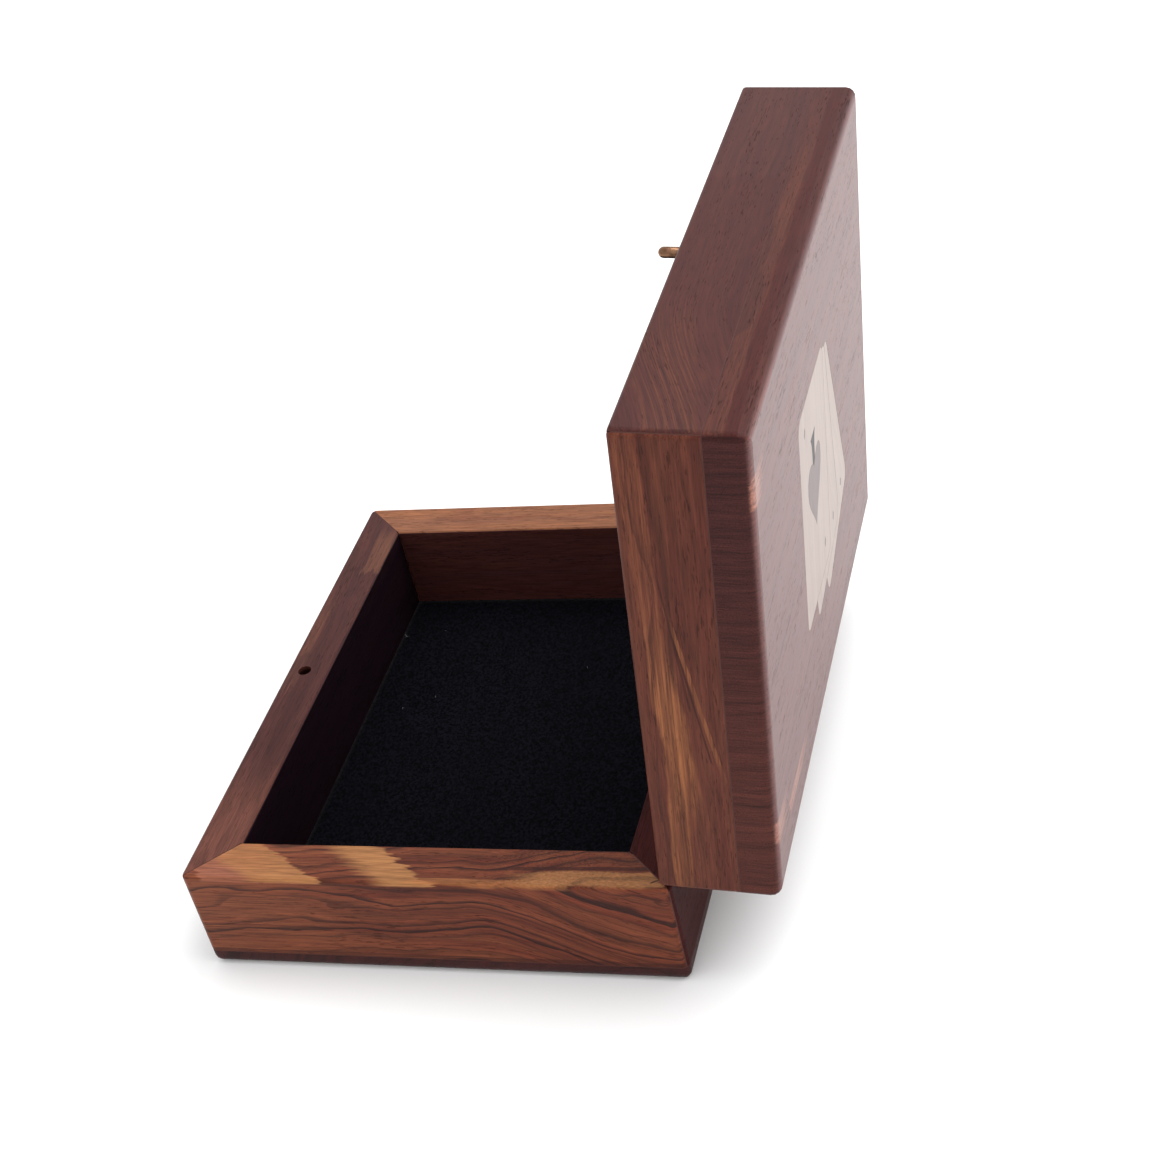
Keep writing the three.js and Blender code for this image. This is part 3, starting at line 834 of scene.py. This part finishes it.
def rounded_outline(half_x, half_y, radius, steps=4):
    """A rectangle with round corners, from above, as (x, y) pairs."""
    points = []
    for turn, (side_x, side_y) in enumerate([(1, 1), (-1, 1), (-1, -1), (1, -1)]):
        middle = Vector((side_x * (half_x - radius), side_y * (half_y - radius)))
        for i in range(steps + 1):
            angle = (turn + i / steps) * math.pi / 2
            points.append(middle + radius * Vector((math.cos(angle), math.sin(angle))))
    return points


def draw_mitre_plates(drawing, outer, inner, rim, joint):
    """A plate in each corner of a frame, from the height rim, whose edges are eased, to the height joint."""
    up = 1 if rim > joint else -1
    reach = (outer.x - inner.x) * math.sqrt(2) - CORNER * (math.sqrt(2) - 1)
    eased = EASE + RECESS
    profile = [
        (INSIDE_RECESS, joint), (INSIDE_RECESS, rim - up * eased), (eased * math.sqrt(2), rim - up * RECESS),
        (reach - eased, rim - up * RECESS), (reach - RECESS, rim - up * eased), (reach - RECESS, joint),
    ]
    for side_x in (-1, 1):
        for side_y in (-1, 1):
            along = Vector((side_x, side_y, 0)).normalized()
            apart = along.cross(Vector((0, 0, 1))) * GLUE_THICKNESS / 2
            corner = Vector((side_x * inner.x, side_y * inner.y, 0))
            edge = [corner + along * s + Vector((0, 0, z)) for s, z in profile]
            skin(drawing, [[point - apart for point in edge], [point + apart for point in edge]])


def draw_glue_frame(drawing, outer, inner, low, high):
    """A flat frame between the boards and the panel."""
    outside = rounded_outline(outer.x - RECESS, outer.y - RECESS, CORNER)
    inside = rounded_outline(inner.x + INSIDE_RECESS, inner.y + INSIDE_RECESS, INNER_CORNER)
    loops = [[(x, y, z) for x, y in outline] for outline, z in
             [(outside, low), (outside, high), (inside, high), (inside, low)]]
    skin(drawing, loops, closed_round=True)


outer_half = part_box("base_bottom_panel")[1].to_2d()
inner_half = INNER_HALF * MM
print("case, half sizes in mm:", tuple(round(value / MM, 1) for value in outer_half))

# %% The glue of the base and of the lid
def draw_base_glue(drawing):
    panel_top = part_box("base_bottom_panel")[1].z
    low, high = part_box("base_front_board")
    draw_mitre_plates(drawing, outer_half, inner_half, high.z, low.z)
    draw_glue_frame(drawing, outer_half, inner_half, panel_top, low.z)


def draw_lid_glue(drawing):
    panel_bottom = shut_box("lid_top_panel")[0].z
    low, high = shut_box("lid_front_board")
    draw_mitre_plates(drawing, outer_half, inner_half, low.z, high.z)
    draw_glue_frame(drawing, outer_half, inner_half, high.z, panel_bottom)


glue = build_mottled("glue_and_dust", paint(78, 43, 37), paint(60, 33, 29), 900.0, 0.6, shine=0.2)
base_glue = draw_piece("base_glue_lines", draw_base_glue, "base", glue)
lid_glue = draw_piece("lid_glue_lines", draw_lid_glue, "lid", glue)
print("faces of glue:", len(base_glue.data.polygons), "and", len(lid_glue.data.polygons))

# %% [markdown]
# ## The velvet floor
# A piece of black velvet is glued to the floor of the base. Glue never dries quite even, so the pile lies
# in faint waves, and the cut edges sink a little. The sheet is modelled as a fine grid that follows those
# waves and is closed below. Its pile is far too fine to model: it is a dark colour with little shine, a
# fine bump, and sheen, which catches light at a low angle as standing fibres do.

# %% Velvet: shape
VELVET_STEP = 1.2 * MM
EDGE_SINK = 0.07 * MM
EDGE_REACH = 1.2 * MM
WAVE = 0.05 * MM
WAVE_LENGTH = 11 * MM
velvet_low, velvet_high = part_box("velvet_lining")
velvet_size = velvet_high - velvet_low


def draw_velvet(drawing):
    columns = round(velvet_size.x / VELVET_STEP)
    rows = round(velvet_size.y / VELVET_STEP)
    grid = []
    for j in range(rows + 1):
        for i in range(columns + 1):
            x = velvet_low.x + velvet_size.x * i / columns
            y = velvet_low.y + velvet_size.y * j / rows
            from_edge = min(x - velvet_low.x, velvet_high.x - x, y - velvet_low.y, velvet_high.y - y)
            sink = EDGE_SINK * math.exp(-from_edge / EDGE_REACH)
            wave = WAVE * rough_ground.noise(Vector((x, y, 0)) / WAVE_LENGTH)
            grid.append(drawing.verts.new((x, y, velvet_high.z - WAVE - sink + wave)))
    for j in range(rows):
        for i in range(columns):
            a = j * (columns + 1) + i
            drawing.faces.new((grid[a], grid[a + 1], grid[a + columns + 2], grid[a + columns + 1]))
    rim = [edge for edge in drawing.edges if edge.is_boundary]
    skirt = bmesh.ops.extrude_edge_only(drawing, edges=rim)["geom"]
    for vertex in [item for item in skirt if isinstance(item, bmesh.types.BMVert)]:
        vertex.co.z = velvet_low.z
    low_rim = [item for item in skirt if isinstance(item, bmesh.types.BMEdge) and item.is_boundary]
    bmesh.ops.holes_fill(drawing, edges=low_rim)


print("velvet measures", [round(value / MM, 1) for value in velvet_size], "mm")

# %% Velvet: material, and laying it
def build_velvet_material():
    material, tree, surface = start_material("black_velvet")
    pile = speckle(tree, 2200.0)
    brushed = noise(tree, object_place(tree), (60.0, 90.0, 60.0), detail=3.0)
    colour = mix_colours(tree, spread(tree, pile, -0.5, 1.4), paint(0, 0, 1), paint(15, 14, 22))
    colour = mix_colours(tree, spread(tree, brushed, 0.0, 0.4), colour, paint(4, 4, 7))
    fill(tree, surface, {
        "Base Color": colour, "Normal": bumped(tree, pile, 0.6, 0.2 * MM), "Roughness": 1.0,
        "Specular IOR Level": 0.05, "Sheen Weight": 0.02, "Sheen Roughness": 0.4})
    return material


velvet = draw_piece("velvet_floor", draw_velvet, "base", build_velvet_material())
for polygon in velvet.data.polygons:
    polygon.use_smooth = polygon.normal.z > 0.5
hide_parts("velvet_lining")
print("velvet faces:", len(velvet.data.polygons))

# %% [markdown]
# ### Lint
# Black velvet keeps every pale fibre that falls on it. A few short curled threads are drawn as thin tubes,
# each along a small arc, at places that a seeded generator picks. Two lie against the front wall, where the
# photograph shows a pale speck.

# %% Lint on the velvet
THREAD = 0.035 * MM
THREAD_SIDES = 5
THREAD_STEPS = 8
LOOSE_THREADS = 4


def draw_thread(drawing, start, length, heading, bend):
    point = Vector(start)
    loops = []
    for i in range(THREAD_STEPS + 1):
        angle = heading + bend * i / THREAD_STEPS
        ahead = Vector((math.cos(angle), math.sin(angle), 0))
        aside = Vector((-ahead.y, ahead.x, 0))
        width = THREAD * (1 - 0.6 * abs(2 * i / THREAD_STEPS - 1))
        loops.append([
            point + width * (math.cos(a) * aside + math.sin(a) * Vector((0, 0, 1)))
            for a in (2 * math.pi * k / THREAD_SIDES for k in range(THREAD_SIDES))
        ])
        point = point + ahead * length / THREAD_STEPS
    skin(drawing, loops)


def draw_lint(drawing):
    dice = random.Random(7)
    top = velvet_high.z - 0.02 * MM
    draw_thread(drawing, (-35.2 * MM, velvet_low.y + 0.2 * MM, top), 1.6 * MM, 0.3, 1.4)
    draw_thread(drawing, (-34.9 * MM, velvet_low.y + 0.35 * MM, top), 1.1 * MM, 1.2, -1.8)
    for _ in range(LOOSE_THREADS):
        x = dice.uniform(velvet_low.x, velvet_high.x) * 0.9
        y = dice.uniform(velvet_low.y, velvet_high.y) * 0.9
        length = dice.uniform(0.4, 0.9) * MM
        draw_thread(drawing, (x, y, top), length, dice.uniform(0, 6.3), dice.uniform(-2, 2))


lint_material = build_mottled("lint", paint(130, 128, 130), paint(78, 78, 86), 1500.0, 0.9, detail=2.0)
lint = draw_piece("velvet_lint", draw_lint, "base", lint_material)
print("faces of lint:", len(lint.data.polygons))

# %% [markdown]
# ## The brass
# Hinges, screws and the pin are small brass hardware, bright once and now a little dull. Brass is a metal,
# so its colour is the colour of its reflections. Tarnish varies the colour and the roughness in small
# clouds.

# %% Material: brass
def build_brass(name, bright, tarnish, roughness):
    material, tree, surface = start_material(name)
    dull = step(tree, speckle(tree, 420.0, 3.0), 0.35, 0.75)
    fill(tree, surface, {
        "Base Color": mix_colours(tree, dull, bright, tarnish), "Metallic": 1.0,
        "Roughness": plus(tree, times(tree, dull, 0.2), roughness),
        "Normal": bumped(tree, speckle(tree, 4000.0), 0.15, 0.004 * MM)})
    return material


brass = build_brass("hinge_brass", paint(190, 154, 92), paint(140, 104, 60), 0.3)
screw_brass = build_brass("screw_brass", paint(214, 184, 124), paint(176, 142, 90), 0.22)
pin_brass = build_brass("pin_brass", paint(142, 106, 82), paint(66, 43, 34), 0.22)
for name in nodes:
    if "_leaf_" in name or name.startswith("hinge_pin"):
        dress(name, brass)
print("materials:", brass.name, screw_brass.name, pin_brass.name)

# %% [markdown]
# ### Slotted screws
# The hinges' screws are small countersunk brass ones. The model has their plain heads, and each is replaced
# here by a turned screw with the slot that a screwdriver needs. The slot is cut with a boolean from a lathe
# shape, and each screw stops at its own angle, as hand-driven ones do.

# %% Screws
HEAD_SIDES = 32
SLOT_SIZE = (8 * MM, 0.36 * MM, 0.68 * MM)
SHANK = 0.6 * MM
EDGE_LAND = 0.08 * MM
HEAD_CHAMFER = 0.06 * MM
POINT = (0.05 * MM, 0.02 * MM)


def ring(radius, z, sides):
    turns = [2 * math.pi * k / sides for k in range(sides)]
    return [(radius * math.cos(turn), radius * math.sin(turn), z) for turn in turns]


def draw_screw(drawing, head, length):
    """A countersunk screw, its head's top at the origin and its tip below."""
    skin(drawing, [ring(radius, z, HEAD_SIDES) for radius, z in [
        (head - HEAD_CHAMFER, 0), (head, -EDGE_LAND / 2), (head, -EDGE_LAND),
        (SHANK, -EDGE_LAND - (head - SHANK)), (SHANK, -length + SHANK), (POINT[0], -length + POINT[1])]])


def slotted(mesh, place, turn):
    """The mesh with a slot across it, its middle at a place and half its height below."""
    cutter_mesh = drawn_mesh("slot_cutter", lambda drawing: bmesh.ops.create_cube(drawing, size=1.0))
    shape = Matrix.Diagonal((*SLOT_SIZE, 1))
    cutter_mesh.transform(Matrix.Translation(place) @ Matrix.Rotation(turn, 4, "Z") @ shape)
    cutter = add_object("slot_cutter", cutter_mesh)
    blank = add_object("screw_blank", mesh)
    cut = blank.modifiers.new("slot", "BOOLEAN")
    cut.operation = "DIFFERENCE"
    cut.solver = "EXACT"
    cut.object = cutter
    evaluated = blank.evaluated_get(bpy.context.evaluated_depsgraph_get())
    result = bpy.data.meshes.new_from_object(evaluated)
    bpy.data.objects.remove(cutter)
    bpy.data.objects.remove(blank)
    return result


dice = random.Random(19)
for name in sorted(name for name in nodes if "_screw_" in name):
    body = "lid" if name.startswith("lid") else "base"
    low, high = shut_box(name) if body == "lid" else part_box(name)
    head_top = (low + high) / 2
    head_top.z = low.z if body == "lid" else high.z
    mesh = drawn_mesh(name, lambda drawing: draw_screw(drawing, (high.x - low.x) / 2, high.z - low.z))
    if body == "lid":
        mesh.transform(Matrix.Rotation(math.pi, 4, "X"))
    mesh.transform(Matrix.Translation(head_top))
    mesh = slotted(mesh, head_top, dice.uniform(0, math.pi))
    add_piece(f"{name}_slotted", mesh, body, screw_brass)
    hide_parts(name)

# %% [markdown]
# ### The pin in the lid's rim
# A short brass pin stands out of the lid's rim and drops into a hole in the base. It was filed round at the
# tip and has a faint ring where it enters the wood. A lathe shape with many sides replaces the model's
# plain one.

# %% Catch pin
PIN_SIDES = 40
PIN_RING = 0.22 * MM
TIP_STEPS = 8


def draw_pin(drawing):
    low, high = shut_box("catch_pin")
    radius = (high.x - low.x) / 2
    rim = shut_box("lid_front_board")[0].z
    middle = Vector(((low.x + high.x) / 2, (low.y + high.y) / 2, 0))
    turns = [i / TIP_STEPS * math.pi / 2 for i in range(TIP_STEPS + 1)]
    profile = [(radius * max(math.sin(turn), 0.06), low.z + radius * (1 - math.cos(turn))) for turn in turns]
    profile += [(radius, rim - 3 * PIN_RING), (radius * 0.95, rim - 2.5 * PIN_RING),
                (radius * 0.95, rim - PIN_RING), (radius, rim - PIN_RING / 2), (radius, high.z)]
    skin(drawing, [[Vector(point) + middle for point in ring(r, z, PIN_SIDES)] for r, z in profile])


catch = draw_piece("brass_catch_pin", draw_pin, "lid", pin_brass)
for polygon in catch.data.polygons:
    polygon.use_smooth = len(polygon.vertices) == 4
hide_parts("catch_pin")
print("pin faces:", len(catch.data.polygons))

# %% [markdown]
# ## The inlay
# The cards are thin plates of pale veneer, let into the lid and sanded flush. Veneer has a faint straight
# grain. The small pips in the corners of the cards are only colour, so they are a mask in the material: a
# lozenge at a given place, in the card's own coordinates. The cards are fanned about one point, and each is
# turned a step further than the one before it.

# %% Group: a lozenge
def build_lozenge():
    tree, given, out = start_group("Lozenge", {
        "Across": 0.0, "Along": 0.0, "Half Height": 1.3, "Half Width": 0.8}, ["Mask"])
    u, v, _ = split(tree, given["Vector"])
    u = over(tree, maths(tree, "ABSOLUTE", minus(tree, u, given["Across"])), given["Half Width"])
    v = over(tree, maths(tree, "ABSOLUTE", minus(tree, v, given["Along"])), given["Half Height"])
    feed(tree, out["Mask"], step(tree, plus(tree, u, v), 1.05, 0.85))
    return tree


lozenge = build_lozenge()
print("group:", lozenge.name)

# %% Veneer
FAN_POINT_LEFT = 17.9
FAN_POINT_FORWARD = 30.1
PIP_ACROSS = 7.5
PIP_ALONG = 16.2
PIP = paint(60, 46, 42)

card_low, card_high = shut_box("front_card_inlay")
card_middle = (card_low + card_high).to_2d() / 2 / MM
fan_point = Vector((card_middle.x - FAN_POINT_LEFT, card_middle.y - FAN_POINT_FORWARD, 0.0))
pips = [card_middle + Vector((-PIP_ACROSS, PIP_ALONG)), card_middle + Vector((PIP_ACROSS, -PIP_ALONG))]


def veneer(name, pale, deep, turn=0.0, pips=(), seed=0.0, coat=0.28):
    material, tree, surface = start_material(name)
    card = rotated(tree, grain_coordinates(tree, True, "x"), "Z", -turn, fan_point)
    upright = rotated(tree, card, "Z", math.pi / 2)
    grain = place_group(tree, wood_fibre, {"Vector": upright, "Seed": seed, "Pore Share": 0.1})
    colour = mix_colours(tree, times(tree, grain["Streaks"], 0.5), pale, deep)
    colour = mix_colours(tree, times(tree, grain["Fibre"], 0.3), colour, deep)
    for pip in pips:
        mask = place_group(tree, lozenge, {"Vector": card, "Across": pip.x, "Along": pip.y})["Mask"]
        colour = mix_colours(tree, times(tree, mask, 0.85), colour, PIP)
    fill(tree, surface, {
        "Base Color": colour, "Roughness": spread(tree, grain["Fibre"], 0.34, 0.46),
        "Normal": bumped(tree, grain["Fibre"], 0.15, 0.03 * MM),
        "Specular IOR Level": 0.1, "Coat Weight": coat, "Coat Roughness": COAT_ROUGHNESS})
    return material


print("middle of the front card, in mm:", tuple(round(value, 2) for value in card_middle))

# %% The cards, the spade and its stem
CARDS = ["front_card_inlay", "middle_card_inlay", "back_card_inlay"]
CARD = paint(160, 143, 136)
CARD_DEEP = paint(138, 120, 111)
FAN_STEP = math.radians(11.5)

for order, name in enumerate(CARDS):
    dress(name, veneer(f"{name}_veneer", CARD, CARD_DEEP, order * FAN_STEP, pips, seed=5.0 + order))
dress("spade_inlay", veneer("spade_veneer", paint(99, 79, 78), paint(78, 62, 61), seed=9.0))
stem_veneer = veneer("stem_veneer", paint(34, 31, 31), paint(22, 20, 21), seed=10.0, coat=0.06)
dress("spade_stem_inlay", stem_veneer)
print("inlaid pieces:", len([name for name in nodes if name.endswith("_inlay")]))

# %% [markdown]
# ### Filler round the inlay
# Each inlaid plate has a hair of room round it, which the maker fills with glue and fine dust before
# sanding. The plate's own outline is read from the model's mesh: the edges that only one of its upper faces
# uses. A thin ribbon then runs along it, as wide as the gap.

# %% Outlines of an inlaid plate
def top_outlines(name):
    """The outlines of a plate's upper face, as the box lies shut, each a loop of (x, y)."""
    mesh = nodes[name].data
    top = shut_box(name)[1].z
    corners = [shut @ vertex.co for vertex in mesh.vertices]
    keys = [(round(corner.x / MM, 3), round(corner.y / MM, 3)) for corner in corners]
    after = {}
    for polygon in mesh.polygons:
        if all(abs(corners[i].z - top) < 0.01 * MM for i in polygon.vertices):
            loop = [keys[i] for i in polygon.vertices]
            for start, end in zip(loop, loop[1:] + loop[:1]):
                if start in after.get(end, []):
                    after[end].remove(start)
                else:
                    after.setdefault(start, []).append(end)
    outlines = []
    while any(after.values()):
        start = next(key for key, ends in after.items() if ends)
        outline = [start]
        here = after[start].pop()
        while here != start:
            outline.append(here)
            here = after[here].pop()
        outlines.append([Vector(key) * MM for key in outline])
    return outlines


print("outlines of the front card:", [len(outline) for outline in top_outlines("front_card_inlay")])

# %% The filler's ribbons
FILLER_WIDTH = 0.14 * MM
FILLER_DEPTH = 0.4 * MM
FILLER_SUNK = 0.012 * MM
FILLER_LAYER = 0.006 * MM


def widened(outline, width):
    """The outline moved to its right by a width, corners kept sharp."""
    moved = []
    for before, here, after in zip(outline[-1:] + outline[:-1], outline, outline[1:] + outline[:1]):
        first = (here - before).normalized()
        second = (after - here).normalized()
        right_first = Vector((first.y, -first.x))
        right_second = Vector((second.y, -second.x))
        middle = right_first + right_second
        moved.append(here + middle * width / max(middle.dot(right_first), 0.3))
    return moved


def draw_filler(drawing):
    for layer, name in enumerate([*CARDS, "spade_inlay"]):
        top = shut_box(name)[1].z - (FILLER_SUNK + FILLER_LAYER * layer)
        for outline in top_outlines(name):
            wide = widened(outline, FILLER_WIDTH)
            loops = [[(point.x, point.y, z) for point in path] for path, z in [
                (outline, top), (wide, top), (wide, top - FILLER_DEPTH), (outline, top - FILLER_DEPTH)]]
            skin(drawing, loops, closed_round=True)


filler_material = build_mottled("inlay_filler", paint(140, 116, 98), paint(96, 72, 58), 800.0, 0.5)
filler = draw_piece("inlay_filler_lines", draw_filler, "lid", filler_material)
print("faces of filler:", len(filler.data.polygons))

# %% [markdown]
# ## Floor and light
# A plain pale floor and soft light from a large lamp, with the paler surroundings filling the shadows. The
# lamp stands behind the lid, so the lid's shadow falls into the dark compartment. The floor matters twice:
# the lid's polish reflects it at a low angle, which makes the lid's top look milky, and that haze is also
# painted into the top's colour.

# %% Floor
FLOOR_SIDE = 6.0


def build_floor():
    mesh = bpy.data.meshes.new("floor")
    half = FLOOR_SIDE / 2
    corners = [(-half, -half, 0), (half, -half, 0), (half, half, 0), (-half, half, 0)]
    mesh.from_pydata(corners, [], [(0, 1, 2, 3)])
    material, tree, surface = start_material("floor_paint")
    fill(tree, surface, {
        "Base Color": (0.9, 0.9, 0.9, 1.0), "Roughness": 0.9, "Specular IOR Level": 0.1})
    mesh.materials.append(material)
    floor = add_object("floor", mesh)
    return floor


floor = build_floor()
print("floor measures", [round(side, 1) for side in floor.dimensions], "m")

# %% World and lamp
LAMP_PLACE = Vector((-0.2, 0.45, 0.9))
LAMP_TARGET = Vector((0.0, 0.0, 0.03))
LAMP_SIDE = 0.8
LAMP_POWER = 8.0
WORLD_STRENGTH = 1.15

glow = bpy.data.lights.new("overhead", "AREA")
glow.shape = "SQUARE"
glow.size = LAMP_SIDE
glow.energy = LAMP_POWER
lamp = add_object("overhead", glow)
lamp.location = LAMP_PLACE
aim(lamp, LAMP_TARGET - LAMP_PLACE)

world = bpy.data.worlds.new("studio")
world.use_nodes = True
fill(world.node_tree, world.node_tree.nodes["Background"], {
    "Color": (1.0, 1.0, 1.0, 1.0), "Strength": WORLD_STRENGTH})
bpy.context.scene.world = world
print("the lamp is", round((LAMP_TARGET - LAMP_PLACE).length, 2), "m away")
